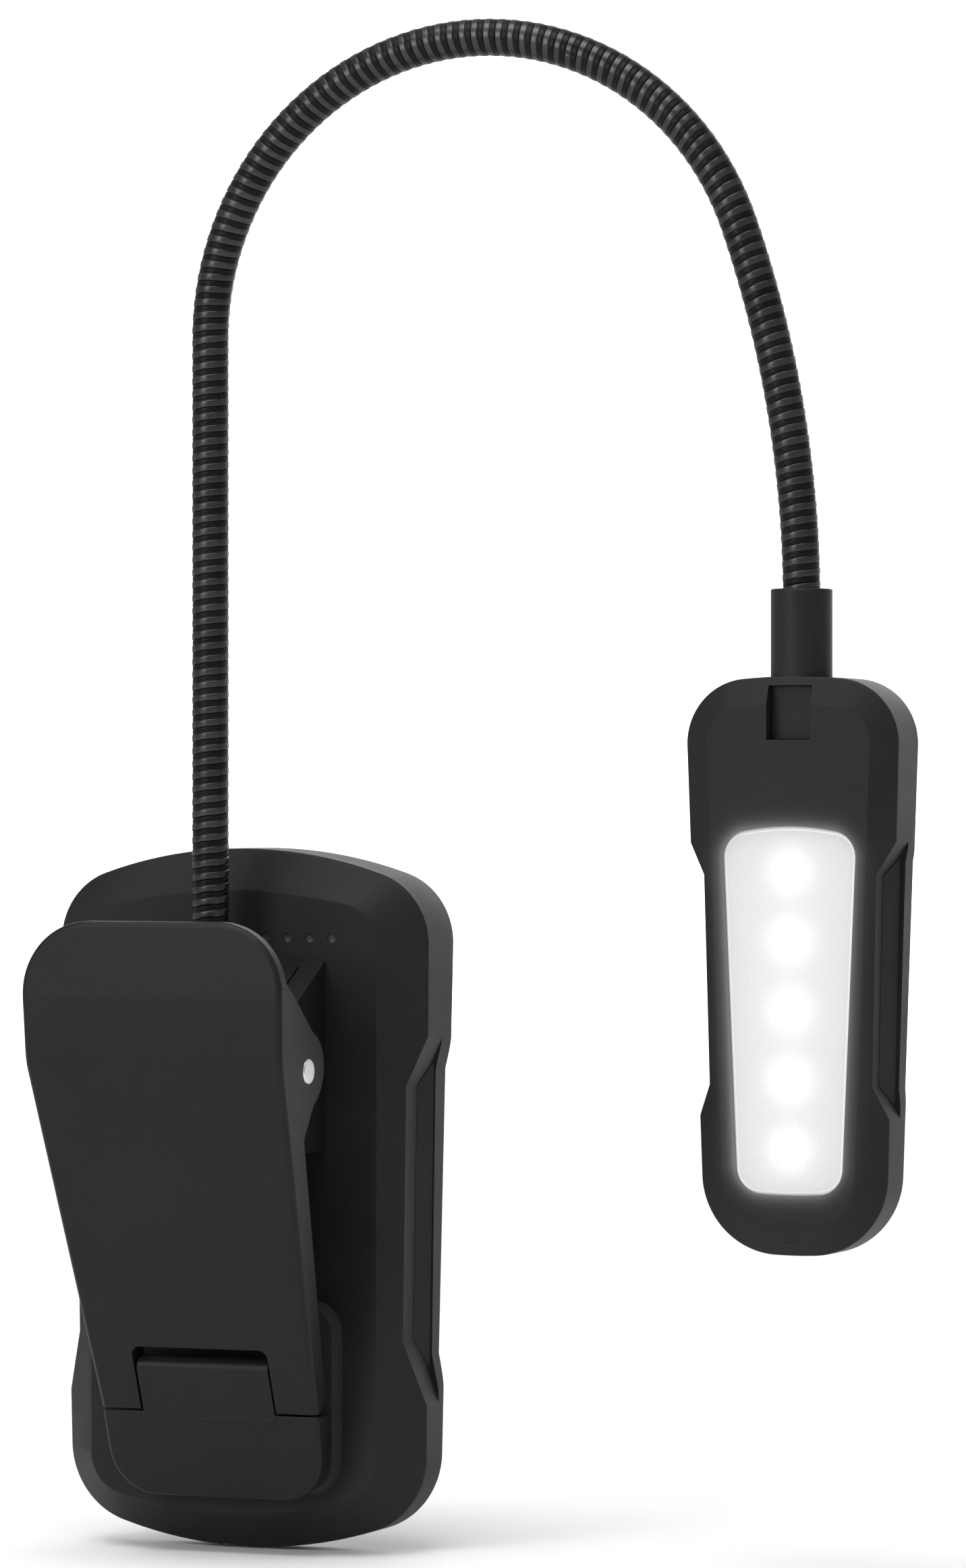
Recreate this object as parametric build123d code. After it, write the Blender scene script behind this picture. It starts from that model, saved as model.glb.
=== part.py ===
from build123d import *
import os
from math import cos, degrees, radians, sin, sqrt, tan

# Clip-on reading lamp, millimetres.  The origin is the centre of the front face of the fixed jaw pad.
# +Z runs up the base towards the neck, -Y points out of the jaw towards the clip lever, +X is to the
# right for someone who looks at the lever.

os.makedirs("parts", exist_ok=True)

# ---------------------------------------------------------------- driving dimensions: base housing
PAD_RAISE = 2.0                 # jaw pad stands this far out of the plateau
PLATEAU_Y = PAD_RAISE           # flat front of the housing
PARTING_Y = PLATEAU_Y + 9.0     # where the two shells meet
RIDGE_Y = PLATEAU_Y + 4.65      # edge between chamfer and side wall, at Z = 0
RIDGE_SLOPE = -0.0222           # the ridge comes forward towards the top
BACK_Y = PLATEAU_Y + 11.35      # back face at Z = 0
BACK_SLOPE = 0.0254             # the housing is thicker at the top
WALL = 1.6
BASE_LOW, BASE_HIGH = -21.3, 74.25
RIDGE_OUTLINE = dict(half_top=27.5, half_low=26.4, z_low=BASE_LOW, z_high=BASE_HIGH,
                     arch_top=64.0, arch_low=62.0, corner_top=10.0, corner_low=11.0)
PLATEAU_OUTLINE = dict(half_top=21.2, half_low=21.2, z_low=-16.2, z_high=68.6,
                       arch_top=76.0, arch_low=66.0, corner_top=5.5, corner_low=5.5)
CAVITY_OUTLINE = dict(half_top=21.8, half_low=21.8, z_low=-16.2, z_high=69.6,
                      arch_top=76.0, arch_low=66.0, corner_top=5.5, corner_low=5.5)
CAVITY_FRONT_Y = PLATEAU_Y + WALL
BASE_EDGE_R = 0.55

# side pockets and waist of the base: (X, Z) of the floor corners and of the mouth corners
BASE_POCKET = dict(floor_low=(24.1, 7.7), mouth_low=(26.5, -0.6),
                   floor_top=(24.66, 42.2), mouth_top=(27.3, 49.0))
BASE_WAIST = dict(floor_low=(25.6, 5.5), mouth_low=(26.55, 0.9),
                  floor_top=(26.15, 44.3), mouth_top=(27.24, 48.9))
BASE_GRIP_FRONT_Y = PLATEAU_Y + 5.9   # the side grips slope out from here to the parting line
GRIP_RISE = 1.3
GRIP_GAP = 0.15

# ---------------------------------------------------------------- jaw pads
PAD_HALF, PAD_HALF_Z, PAD_CORNER = 16.3, 13.3, 4.5
PAD_DRAFT = 0.7
PAD_RIB_PITCH, PAD_RIB_DEPTH, PAD_GROOVES = 2.6, 0.35, 8

# ---------------------------------------------------------------- clip bracket, pin, spring
PIN_Y, PIN_Z, PIN_R = -15.05, 44.9, 1.75
PIN_HALF = 18.85
RUNNING_FIT = 0.05
EAR_OUT, EAR_IN = 13.65, 10.5
SLIT = 0.3
BRACKET_WEB = 1.2
BRACKET_TOP_Z = 59.05           # where its sloping top meets the plateau
BRACKET_LOW_Z = 33.4
BRACKET_DROP = tan(radians(30)) # fall of the sloping top for each mm forward
EAR_BOSS_R = 3.8
SOCKET_FRONT_Y = PLATEAU_Y - 11.6
SPRING_R, SPRING_WIRE, SPRING_HALF = 3.1, 1.0, 7.0

# ---------------------------------------------------------------- lever and swivelling foot
LEVER_TOP_Z, LEVER_LOW_Z = 64.8, -1.6
CREASE_Z = 46.0
THUMB_Y_TOP, THUMB_Y_MID, THUMB_MID_Z = -24.6, -24.9, 54.5
CREASE_Y, LEVER_LOW_Y = -24.3, -6.0
LEVER_PLATE = 2.2
LEVER_HALF_TOP, LEVER_HALF_CREASE, LEVER_HALF_LOW = 18.9, 18.7, 15.9
LEVER_CORNER_R = 9.5
LOBE_R = 5.2
LEVER_EDGE_R = 0.8
KNUCKLE_TOP_Z = 8.6
NOTCH_HALF, NOTCH_TOP_Z = 10.0, 7.1
FOOT_GAP = 0.3
FOOT_PIN_Y, FOOT_PIN_Z, FOOT_PIN_R, FOOT_PIN_HALF = -4.5, 2.2, 1.0, 13.4
FOOT_LOW_Z, FOOT_LOW_Y, FOOT_BACK_Y = -13.6, -2.5, -1.2
TONGUE_TOP_Z = 5.7
FOOT_EDGE_R = 0.6
FOOT_PAD_FACE_Y = -0.12

# ---------------------------------------------------------------- gooseneck
NECK_Y, NECK_R, NECK_BORE = -5.3, 2.5, 1.4
NECK_STRAIGHT_TOP = 143.1       # the neck rises straight to here, then bends over
NECK_ARC_R, NECK_ARC_TURN = 39.0, 160.2
NECK_TAIL_R = 147.1             # the last, flatter arc brings the neck back to vertical
NECK_TAIL_TURN = 180.0 - NECK_ARC_TURN
NECK_START_Z = 55.0             # the neck leaves its socket here: station 0
NECK_FIRST_JOINT, NECK_JOINT_PITCH, NECK_JOINTS = 16.0, 42.0, 6
BALL_R, SOCKET_RIM, SHOULDER = 2.2, 0.5, 2.4
STEM_R, WIREWAY_R = 1.1, 0.55
ANCHOR_LOW_Z, ANCHOR_LENGTH, ANCHOR_R = 42.0, 7.0, 3.4
LEAD_WINDOW_LOW_Z, LEAD_WINDOW_HALF = 37.0, 2.4

# ---------------------------------------------------------------- head
HEAD_X = NECK_ARC_R * (1 - cos(radians(NECK_ARC_TURN))) + NECK_TAIL_R * (1 - cos(radians(NECK_TAIL_TURN)))
HEAD_LOW, HEAD_HIGH = 21.75, 97.0
HEAD_FACE_Y = -10.7
HEAD_RIDGE_Y, HEAD_RIDGE_SLOPE = -7.6, -0.0175   # at Z = 0
HEAD_PARTING_Y = -3.9
HEAD_BACK_Y, HEAD_BACK_SLOPE = -1.85, 0.0153     # at Z = 0
HEAD_WALL, HEAD_EDGE_R = 1.3, 0.4
HEAD_RIDGE_OUTLINE = dict(half_top=14.75, half_low=12.5, z_low=HEAD_LOW, z_high=HEAD_HIGH,
                          arch_top=75.0, arch_low=60.0, corner_top=8.5, corner_low=10.5)
HEAD_FACE_OUTLINE = dict(half_top=11.3, half_low=8.9, z_low=25.5, z_high=93.3,
                         arch_top=70.0, arch_low=30.0, corner_top=4.5, corner_low=6.0)
HEAD_CAVITY_OUTLINE = dict(half_top=10.3, half_low=8.4, z_low=27.0, z_high=91.6,
                           arch_top=70.0, arch_low=30.0, corner_top=3.0, corner_low=4.0)
WINDOW_OUTLINE = dict(half_top=9.3, half_low=7.3, z_low=29.7, z_high=77.5,
                      arch_top=34.0, arch_low=60.0, corner_top=3.4, corner_low=3.4)
HEAD_POCKET = dict(floor_low=(11.15, 43.9), mouth_low=(12.95, 39.8),
                   floor_top=(11.8, 71.2), mouth_top=(14.6, 76.4))
HEAD_WAIST = dict(floor_low=(12.85, 43.5), mouth_low=(13.15, 40.0),
                  floor_top=(13.75, 73.0), mouth_top=(14.4, 76.0))
HEAD_GRIP_FRONT_Y = -7.3
LENS_FACE_Y, LENS_THICK, LENS_FLANGE = -10.0, 1.2, 0.7
LED_COUNT, LED_TOP_Z, LED_PITCH = 5, 71.8, 9.06
LED_BOARD_Y = -6.4
TAB_HALF, TAB_LOW_Z, TAB_HIGH_Z, TAB_DEPTH = 3.0, 88.75, 95.8, 2.1
SLEEVE_R, SLEEVE_TOP_Z, SLEEVE_LOW_Z = 4.04, 108.4, 95.9
STEM_SLEEVE_R, STEM_SLEEVE_LOW_Z = 2.95, 91.2   # the sleeve's thinner end inside the head

# ---------------------------------------------------------------- inside the base
SCREW_R, SCREW_HEAD_R, SCREW_HEAD_H = 0.95, 1.9, 1.2
BASE_SCREWS = [(-19.0, 57.0), (19.0, 57.0), (-18.4, -7.5), (18.4, -7.5)]
HEAD_SCREWS = [(0.0, 86.0), (0.0, 25.2)]
HEAD_SCREW_R, HEAD_SCREW_HEAD_R = 0.8, 1.6
BOSS_R = 2.5
BATTERY = dict(half=17.0, z_low=-5.0, z_high=36.0, y_front=4.1, thick=5.4)
BOARD = dict(half=15.8, z_low=49.5, z_high=67.0, y_front=8.0, thick=1.0)
POST_R = 1.5
DOTS = [4.85, 8.12, 11.39, 14.67]
DOT_Z, DOT_R, DOT_RECESS = 62.2, 0.65, 0.25
BUTTON_Z, BUTTON_R, BUTTON_TRAVEL = 58.0, 4.4, 0.5
BUTTON_PROUD, BUTTON_GAP, BUTTON_FLANGE = 0.4, 0.2, 1.0
PORT_HALF, PORT_Y, PORT_THICK, PORT_LENGTH = 4.5, 8.7, 3.2, 7.3
CHARGE_BOARD_HALF, CHARGE_BOARD_LOW_Z = 9.0, -15.2
WIRE_R = 0.5
BOARD_POSTS = [(x, z, BOARD["y_front"]) for x in (-13.0, 13.0) for z in (51.6, 64.9)]
BOARD_POSTS += [(x, -9.5, PORT_Y + PORT_THICK / 2) for x in (-7.0, 7.0)]
LED_POSTS = [(-3.6, 36.0), (3.6, 36.0), (0.0, 78.8)]


# ---------------------------------------------------------------- shared shapes
def front_plane(y, slope=0.0):
    """Sketch plane seen from the front: local x is X, local y is Z; it leans back by slope per mm of Z."""
    return Plane(origin=(0, y, 0), x_dir=(1, 0, 0), z_dir=(0, -1, slope))


def outline(half_top, half_low, z_low, z_high, arch_top, arch_low, corner_top, corner_low):
    """Upright rounded slab outline with bowed top and bottom edges and straight, tapering sides."""
    top_z = z_high - arch_top + sqrt(arch_top**2 - half_top**2)
    low_z = z_low + arch_low - sqrt(arch_low**2 - half_low**2)
    edges = [
        ThreePointArc((-half_low, low_z), (0, z_low), (half_low, low_z)),
        Line((half_low, low_z), (half_top, top_z)),
        ThreePointArc((half_top, top_z), (0, z_high), (-half_top, top_z)),
        Line((-half_top, top_z), (-half_low, low_z)),
    ]
    face = make_face(edges)
    face = fillet(face.vertices().group_by(Axis.Y)[-1], corner_top)
    return fillet(face.vertices().group_by(Axis.Y)[0], corner_low)


def grown(shape, amount):
    """The same outline, larger all round by amount."""
    return dict(shape, half_top=shape["half_top"] + amount, half_low=shape["half_low"] + amount,
                z_low=shape["z_low"] - amount, z_high=shape["z_high"] + amount,
                corner_top=shape["corner_top"] + amount, corner_low=shape["corner_low"] + amount)


def slab(shape, y_front, y_back):
    """Prism of an outline between two depths."""
    return extrude(front_plane(y_back) * outline(**shape), y_back - y_front)


def block(x0, x1, y0, y1, z0, z1):
    """Box from its two corners."""
    return Pos((x0 + x1) / 2, (y0 + y1) / 2, (z0 + z1) / 2) * Box(x1 - x0, y1 - y0, z1 - z0)


def rod_x(radius, x0, x1, y, z):
    return Pos((x0 + x1) / 2, y, z) * Rot(0, 90, 0) * Cylinder(radius, x1 - x0)


def rod_y(radius, y0, y1, x, z):
    return Pos(x, (y0 + y1) / 2, z) * Rot(90, 0, 0) * Cylinder(radius, y1 - y0)


def rod_z(radius, z0, z1, x, y):
    return Pos(x, y, (z0 + z1) / 2) * Cylinder(radius, z1 - z0)


def side_profile(points, x0, x1):
    """Prism along X of a closed (Y, Z) outline."""
    face = make_face(Polyline(*points, close=True))
    return extrude(Plane.YZ.offset(x0) * face, x1 - x0)


def wire(points, bend):
    """Round lead along a polyline with rounded corners."""
    path = FilletPolyline(*points, radius=bend)
    start = Plane(origin=path @ 0, z_dir=path % 0)
    return sweep(start * Circle(WIRE_R), path=path)


def beyond(inner, outer, factor):
    """The point on the line from inner to outer, factor times as far."""
    return tuple(i + factor * (o - i) for i, o in zip(inner, outer))


def side_cut(floor_low, mouth_low, floor_top, mouth_top, y_front, y_back, inset=0.0):
    """Prism that takes a pocket with sloping ends out of the right side wall."""
    low = (floor_low[0], floor_low[1] + inset)
    top = (floor_top[0], floor_top[1] - inset)
    low_out = beyond(low, (mouth_low[0], mouth_low[1] + inset), 4)
    top_out = beyond(top, (mouth_top[0], mouth_top[1] - inset), 4)
    face = make_face(Polyline(low, low_out, top_out, top, close=True))
    return extrude(front_plane(y_back) * face, y_back - y_front)


def both_sides(solid):
    return [solid, mirror(solid, about=Plane.YZ)]


def save(node, *solids):
    """One STEP per node; several solids in one node stay separate."""
    shapes = [s for group in solids for s in (group if isinstance(group, (list, tuple)) else [group])]
    shape = shapes[0] if len(shapes) == 1 else Compound(children=[s.solid() for s in shapes])
    export_step(shape, f"parts/{node}.step")


def form(front_shape, front_y, ridge_shape, ridge_y, ridge_slope, parting_y, edge_r):
    """Front half of a housing: flat front, chamfer to a ridge, side wall back to the parting line."""
    front_face = front_plane(front_y) * outline(**front_shape)
    ridge_face = front_plane(ridge_y, ridge_slope) * outline(**ridge_shape)
    parting_face = front_plane(parting_y) * outline(**ridge_shape)
    chamfer_part = loft([front_face, ridge_face], ruled=True)
    wall_part = loft([ridge_face, parting_face], ruled=True)
    body = chamfer_part + wall_part
    ridge_edges = [e for e in body.edges() if near_ridge(e, ridge_y, ridge_slope)]
    body = fillet(ridge_edges, edge_r)
    return fillet(body.faces().sort_by(Axis.Y)[0].edges(), edge_r * 0.7)


def near_ridge(edge, ridge_y, ridge_slope):
    return all(abs((edge @ t).Y - ridge_y - ridge_slope * (edge @ t).Z) < 0.05 for t in (0.0, 0.5, 1.0))


def back_form(ridge_shape, parting_y, back_y, back_slope, edge_r):
    """Back half of a housing, from the parting line to the sloping back face."""
    parting_face = front_plane(parting_y) * outline(**ridge_shape)
    back_face = front_plane(back_y, back_slope) * outline(**ridge_shape)
    body = loft([parting_face, back_face], ruled=True)
    return fillet(body.faces().sort_by(Axis.Y)[-1].edges(), edge_r)


def back_surface(back_y, back_slope, z):
    return back_y + back_slope * z


def screw(x, z, y_head, y_tip):
    """Pan-head self-tapping screw with a cross slot, driven from the back."""
    head = rod_y(SCREW_HEAD_R, y_head - SCREW_HEAD_H, y_head, x, z)
    head = fillet(head.edges().sort_by(Axis.Y)[-1], 0.4)
    slot = Box(2.4, 0.6, 0.45) + Box(0.45, 0.6, 2.4)
    shank = rod_y(SCREW_R, y_tip, y_head - SCREW_HEAD_H, x, z)
    return head + shank - Pos(x, y_head - 0.3, z) * slot


def screw_cuts(body, places, back_y, back_slope):
    """Counterbored clearance holes for the housing screws."""
    for x, z in places:
        seat = back_surface(back_y, back_slope, z) - 1.5
        body -= rod_y(SCREW_HEAD_R + 0.2, seat, seat + 4, x, z)
        body -= rod_y(SCREW_R + 0.15, seat - 8, seat + 1, x, z)
    return body


# ---------------------------------------------------------------- base
def base_front_shell():
    body = form(PLATEAU_OUTLINE, PLATEAU_Y, RIDGE_OUTLINE, RIDGE_Y, RIDGE_SLOPE, PARTING_Y, BASE_EDGE_R)
    body -= slab(CAVITY_OUTLINE, CAVITY_FRONT_Y, PARTING_Y + 1)
    for x, z in BASE_SCREWS:
        body += rod_y(BOSS_R, CAVITY_FRONT_Y - 0.2, PARTING_Y, x, z)
        body -= rod_y(SCREW_R, CAVITY_FRONT_Y, PARTING_Y + 1, x, z)
    for cut in both_sides(side_cut(**BASE_POCKET, y_front=PLATEAU_Y - 5, y_back=PARTING_Y + 1)):
        body -= cut
    for x in DOTS:
        body -= rod_y(DOT_R, PLATEAU_Y - 1, CAVITY_FRONT_Y + 1, x, DOT_Z)
    for x, z, y_top in BOARD_POSTS:
        body += rod_y(POST_R, CAVITY_FRONT_Y - 0.2, y_top, x, z)
    return body - lead_window(PLATEAU_Y - 1, CAVITY_FRONT_Y + 1) - port_cut()


def lead_window(y0, y1):
    """Opening that lets the neck's leads pass into the housing."""
    return block(-LEAD_WINDOW_HALF, LEAD_WINDOW_HALF, y0, y1, LEAD_WINDOW_LOW_Z, ANCHOR_LOW_Z)


def port_cut():
    """Rounded slot for the charging socket in the bottom edge."""
    slot = Box(2 * PORT_HALF + 0.4, PORT_THICK + 0.4, 2 * (CAVITY_OUTLINE["z_low"] - BASE_LOW) + 2)
    slot = fillet(slot.edges().filter_by(Axis.Z), PORT_THICK / 2)
    return Pos(0, PORT_Y, BASE_LOW) * slot


def base_back_shell():
    body = back_form(RIDGE_OUTLINE, PARTING_Y, BACK_Y, BACK_SLOPE, 0.8)
    inner = loft([front_plane(PARTING_Y - 0.01) * outline(**CAVITY_OUTLINE),
                  front_plane(BACK_Y - WALL, BACK_SLOPE) * outline(**CAVITY_OUTLINE)], ruled=True)
    body -= inner
    for x, z in BASE_SCREWS:
        body += rod_y(BOSS_R, PARTING_Y, back_surface(BACK_Y, BACK_SLOPE, z) - 0.8, x, z)
    body = screw_cuts(body, BASE_SCREWS, BACK_Y, BACK_SLOPE)
    for cut in both_sides(side_cut(**BASE_WAIST, y_front=PARTING_Y - 1, y_back=BACK_Y + 5)):
        body -= cut
    return body - rod_y(BUTTON_R + BUTTON_GAP, PARTING_Y, BACK_Y + 5, 0, BUTTON_Z)


def base_grip():
    """Right-hand grip inlay: a wedge that slopes out of the pocket to the parting line."""
    floor_x = BASE_POCKET["floor_low"][0]
    lean = (BASE_POCKET["floor_top"][0] - floor_x) / (BASE_POCKET["floor_top"][1] - BASE_POCKET["floor_low"][1])
    return grip(BASE_POCKET, floor_x, lean, BASE_GRIP_FRONT_Y, PARTING_Y)


def grip(pocket, floor_x, lean, y_front, y_parting):
    """Wedge whose thin edge lies on the pocket floor and whose thick edge ends at the parting line."""
    z_low = pocket["floor_low"][1]
    y_back = y_parting - GRIP_GAP
    low, high = -20.0, 90.0

    def section(z):
        x = floor_x + lean * (z - z_low) + 0.02
        points = [(x, y_front), (x + GRIP_RISE, y_back), (x, y_back)]
        return Pos(0, 0, z) * make_face(Polyline(*points, close=True))

    wedge = loft([section(low), section(high)], ruled=True)
    return wedge & side_cut(**pocket, y_front=y_front - 1, y_back=y_parting, inset=GRIP_GAP)


def jaw_pad():
    """Ribbed rubber pad on the plateau."""
    shape = dict(half_top=PAD_HALF, half_low=PAD_HALF, z_low=-PAD_HALF_Z, z_high=PAD_HALF_Z,
                 arch_top=900.0, arch_low=900.0, corner_top=PAD_CORNER, corner_low=PAD_CORNER)
    pad = loft([front_plane(PLATEAU_Y) * outline(**shape),
                front_plane(0) * outline(**grown(shape, -PAD_DRAFT))], ruled=True)
    for i in range(-PAD_GROOVES // 2, PAD_GROOVES // 2):
        z = (i + 0.5) * PAD_RIB_PITCH
        pad -= block(-PAD_HALF + 4, PAD_HALF - 4, -1, PAD_RIB_DEPTH, z - 0.4, z + 0.4)
    return pad


def bracket_top(y):
    """Height of the bracket's sloping top at depth y."""
    return BRACKET_TOP_Z - BRACKET_DROP * (PLATEAU_Y - y)


def ear():
    """Right-hand ear: sloping top, round boss about the pin, flat bottom."""
    slope = radians(30)
    top_tangent = (PIN_Y - EAR_BOSS_R * sin(slope), PIN_Z + EAR_BOSS_R * cos(slope))
    front = (PIN_Y - EAR_BOSS_R, PIN_Z)
    low_angle = radians(40)
    low_tangent = (PIN_Y - EAR_BOSS_R * cos(low_angle), PIN_Z - EAR_BOSS_R * sin(low_angle))
    foot_front = (low_tangent[0] + (low_tangent[1] - BRACKET_LOW_Z) * tan(low_angle), BRACKET_LOW_Z)
    edges = [
        Line((PLATEAU_Y, BRACKET_LOW_Z), (PLATEAU_Y, BRACKET_TOP_Z)),
        Line((PLATEAU_Y, BRACKET_TOP_Z), top_tangent),
        ThreePointArc(top_tangent, front, low_tangent),
        Line(low_tangent, foot_front),
        Line(foot_front, (PLATEAU_Y, BRACKET_LOW_Z)),
    ]
    plate = extrude(Plane.YZ.offset(EAR_IN) * make_face(edges), EAR_OUT - EAR_IN)
    return plate - rod_x(PIN_R, EAR_IN - 1, EAR_OUT + 1, PIN_Y, PIN_Z)


def clip_bracket():
    """Two ears joined by a thin web that lies on the plateau."""
    y_web = PLATEAU_Y - BRACKET_WEB
    web = side_profile([(PLATEAU_Y, BRACKET_LOW_Z), (PLATEAU_Y, BRACKET_TOP_Z), (y_web, bracket_top(y_web)),
                        (y_web, BRACKET_LOW_Z)], -EAR_IN, EAR_IN)
    right, left = both_sides(ear())
    return web + right + left - lead_window(y_web - 1, PLATEAU_Y + 1)


def neck_socket():
    """Block between the ears that grips the lower end of the gooseneck."""
    half, y_back = EAR_IN - SLIT, PLATEAU_Y - BRACKET_WEB
    points = [(y_back, BRACKET_LOW_Z), (y_back, bracket_top(y_back)), (SOCKET_FRONT_Y, bracket_top(SOCKET_FRONT_Y)),
              (SOCKET_FRONT_Y, BRACKET_LOW_Z)]
    body = side_profile(points, -half, half)
    body -= rod_z(NECK_R + 0.1, ANCHOR_LOW_Z, BRACKET_TOP_Z, 0, NECK_Y)
    body -= rod_z(ANCHOR_R, ANCHOR_LOW_Z, ANCHOR_LOW_Z + ANCHOR_LENGTH, 0, NECK_Y)
    return body - lead_window(NECK_Y - LEAD_WINDOW_HALF, PLATEAU_Y + 1)


def clip_pin():
    pin = rod_x(PIN_R, -PIN_HALF, PIN_HALF, PIN_Y, PIN_Z)
    return chamfer(pin.edges(), 0.15)


def clip_spring():
    """Torsion spring: a closed coil round the pin with one leg on the socket and one on the thumb plate."""
    coil = rod_x(SPRING_R + SPRING_WIRE / 2, -SPRING_HALF, SPRING_HALF, PIN_Y, PIN_Z)
    coil -= rod_x(SPRING_R - SPRING_WIRE / 2, -SPRING_HALF - 1, SPRING_HALF + 1, PIN_Y, PIN_Z)
    legs = [((-SPRING_HALF + 0.5, PIN_Y - SPRING_R, PIN_Z), (-SPRING_HALF + 0.5, THUMB_Y_MID + LEVER_PLATE + 0.7, 58.0)),
            ((SPRING_HALF - 0.5, PIN_Y + SPRING_R, PIN_Z), (SPRING_HALF - 0.5, SOCKET_FRONT_Y - 0.6, 50.0))]
    for start, end in legs:
        coil += straight_rod(start, end, SPRING_WIRE / 2)
    return coil


def straight_rod(start, end, radius):
    path = Line(start, end)
    return sweep(Plane(origin=path @ 0, z_dir=path % 0) * Circle(radius), path=path)


# ---------------------------------------------------------------- lever
def lever_outline(inset=0.0):
    """Front outline of the lever: round-cornered thumb end, sides that taper below the crease."""
    low_z = LEVER_LOW_Z if inset == 0.0 else KNUCKLE_TOP_Z
    lean = (LEVER_HALF_CREASE - LEVER_HALF_LOW) / (CREASE_Z - LEVER_LOW_Z)
    low_half = LEVER_HALF_LOW + lean * (low_z - LEVER_LOW_Z) - inset
    top = LEVER_TOP_Z - inset
    points = [(-low_half, low_z), (low_half, low_z), (LEVER_HALF_CREASE - inset, CREASE_Z),
              (LEVER_HALF_TOP - inset, CREASE_Z + 9), (LEVER_HALF_TOP - inset, top),
              (-LEVER_HALF_TOP + inset, top), (-LEVER_HALF_TOP + inset, CREASE_Z + 9),
              (-LEVER_HALF_CREASE + inset, CREASE_Z)]
    face = make_face(Polyline(*points, close=True))
    return fillet(face.vertices().group_by(Axis.Y)[-1], LEVER_CORNER_R - inset)


def lever_front_points(offset=0.0):
    """(Y, Z) points of the lever's front surface from top to bottom, moved back by offset."""
    lean = (LEVER_LOW_Y - CREASE_Y) / (CREASE_Z - LEVER_LOW_Z)
    back = offset * sqrt(1 + lean**2)
    return [(THUMB_Y_TOP + offset, LEVER_TOP_Z), (THUMB_Y_MID + offset, THUMB_MID_Z),
            (CREASE_Y + offset, CREASE_Z - 0.19 * offset), (LEVER_LOW_Y + back, LEVER_LOW_Z)]


def lever_side():
    """Side profile: the front surface, the lobe round the pin and the rim behind the plate."""
    front = lever_front_points()
    inner_top = (THUMB_Y_TOP + LEVER_PLATE, LEVER_TOP_Z)
    shoulder = (THUMB_Y_MID + LEVER_PLATE, 56.8)
    lobe = [(PIN_Y + LOBE_R * cos(radians(a)), PIN_Z + LOBE_R * sin(radians(a))) for a in (75, 0, -62)]
    rim_top, rim_low = (PIN_Y - 0.2, 35.8), (-2.5, LEVER_LOW_Z)
    edges = [
        Polyline(lobe[0], shoulder, inner_top, *front, rim_low, rim_top, lobe[2]),
        ThreePointArc(lobe[2], lobe[1], lobe[0]),
    ]
    face = make_face(edges)
    corner = face.vertices().sort_by_distance(Vector(*rim_low))[0]
    face = fillet(corner, 2.5)
    crease = face.vertices().sort_by_distance(Vector(CREASE_Y, CREASE_Z))[0]
    return fillet(crease, 10.0)


def lever_front_y(z):
    """Depth of the lever's front surface at height z, with a sharp crease."""
    points = lever_front_points()
    for (y_top, z_top), (y_low, z_low) in zip(points, points[1:]):
        if z >= z_low - 0.01:
            return y_top + (y_low - y_top) * (z - z_top) / (z_low - z_top)
    return points[-1][0]


def on_lever_rim(edge):
    """True for the edges that run round the lever's front surface."""
    ends = [edge @ t for t in (0.05, 0.5, 0.95)]
    on_front = all(p.Y - lever_front_y(p.Z) < 0.45 for p in ends)
    across = abs((edge @ 0).Z - (edge @ 1).Z) < 0.001 and (edge @ 0).Z < LEVER_TOP_Z - 0.01
    return on_front and not across


def clip_lever():
    half = LEVER_HALF_TOP + 1
    body = extrude(Plane.YZ.offset(-half) * lever_side(), 2 * half)
    body &= extrude(front_plane(10) * lever_outline(), 45)
    body = fillet([e for e in body.edges() if on_lever_rim(e)], LEVER_EDGE_R)
    back = lever_front_points(LEVER_PLATE)
    hollow = side_profile([(10, LEVER_TOP_Z), *back, (10, LEVER_LOW_Z)], -half, half)
    body -= hollow & extrude(front_plane(10) * lever_outline(LEVER_PLATE), 45)
    for x0, x1 in ((EAR_OUT + 0.2, LEVER_HALF_TOP - LEVER_PLATE + 0.3), (-LEVER_HALF_TOP + LEVER_PLATE - 0.3, -EAR_OUT - 0.2)):
        body += rod_x(3.6, x0, x1, PIN_Y, PIN_Z)
    body -= rod_x(PIN_R + RUNNING_FIT, -half, half, PIN_Y, PIN_Z)
    notch = block(-NOTCH_HALF, NOTCH_HALF, -30, 10, LEVER_LOW_Z - 2, NOTCH_TOP_Z)
    body -= fillet(notch.edges().filter_by(Axis.Y).group_by(Axis.Z)[-1], 1.2)
    body -= block(-NOTCH_HALF, NOTCH_HALF, -8.6, 10, LEVER_LOW_Z - 2, KNUCKLE_TOP_Z + 0.1)
    return body - rod_x(FOOT_PIN_R, -FOOT_PIN_HALF, FOOT_PIN_HALF, FOOT_PIN_Y, FOOT_PIN_Z)


def foot_pin():
    return chamfer(rod_x(FOOT_PIN_R, -FOOT_PIN_HALF, FOOT_PIN_HALF, FOOT_PIN_Y, FOOT_PIN_Z).edges(), 0.15)


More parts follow.
